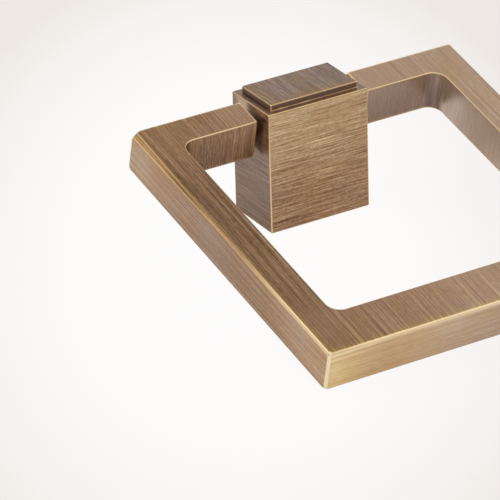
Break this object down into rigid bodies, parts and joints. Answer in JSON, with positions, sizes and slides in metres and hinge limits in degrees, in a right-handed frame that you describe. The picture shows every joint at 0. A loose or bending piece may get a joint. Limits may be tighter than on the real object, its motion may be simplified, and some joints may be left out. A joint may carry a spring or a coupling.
{
  "type": "ring pull handle",
  "caption": "Square ring pull for cabinets and drawers: a flat bar ring that swings on a block post fixed from behind by one screw.",
  "frame": {"origin": "centre of the post's back face, on the axis of the screw hole, in the plane of the drawer front", "axes": "+Z out of the drawer front along the post, X along the pivot, the ring towards -Y"},
  "size_m": [0.06, 0.0621, 0.0221],
  "materials": {
    "post_brass": "brushed, antiqued, arrises rubbed bright",
    "plate_brass": "brushed, antiqued, dark side walls",
    "ring_brass": "brushed, antiqued, arrises rubbed bright",
    "pin_steel": "turned",
    "spring_steel": "drawn wire"
  },
  "bodies": {
    "mounting_post": {"post": "post_brass", "front_plate": "plate_brass", "pivot_pin_left": "pin_steel", "pivot_pin_right": "pin_steel", "pin_spring": "spring_steel"},
    "pull_ring": {"ring": "ring_brass"}
  },
  "joints": [
    {"name": "ring_swing", "type": "hinge", "parent": "mounting_post", "child": "pull_ring", "pos_m": [0, 0, 0.0166], "axis": [-1, 0, 0], "range_deg": [0, 153.3]}
  ]
}
